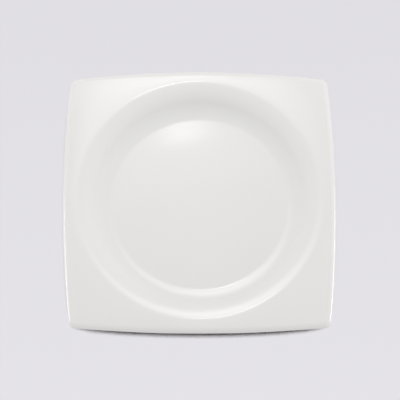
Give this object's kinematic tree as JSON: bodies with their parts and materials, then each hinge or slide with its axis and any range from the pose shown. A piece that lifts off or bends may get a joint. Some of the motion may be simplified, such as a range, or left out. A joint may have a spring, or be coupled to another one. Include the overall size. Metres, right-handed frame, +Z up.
{
  "type": "square dinner plate",
  "caption": "Glazed white porcelain dinner plate with a square outline of bowed sides, a round flat-floored well, a gently falling rim and a bare foot ring.",
  "frame": {"origin": "centre of the foot ring's resting face, on the table", "axes": "+Z up through the middle of the plate, +X and +Y through the middles of two sides"},
  "size_m": [0.26, 0.26, 0.0203],
  "materials": {
    "fired_porcelain": "bare fired porcelain, matt, ground smooth on the foot ring",
    "white_glaze": "clear gloss glaze over white porcelain",
    "base_glaze": "clear gloss glaze over white porcelain"
  },
  "bodies": {
    "root": {"plate_body": "fired_porcelain", "face_glaze": "white_glaze", "base_glaze": "base_glaze"}
  },
  "joints": []
}
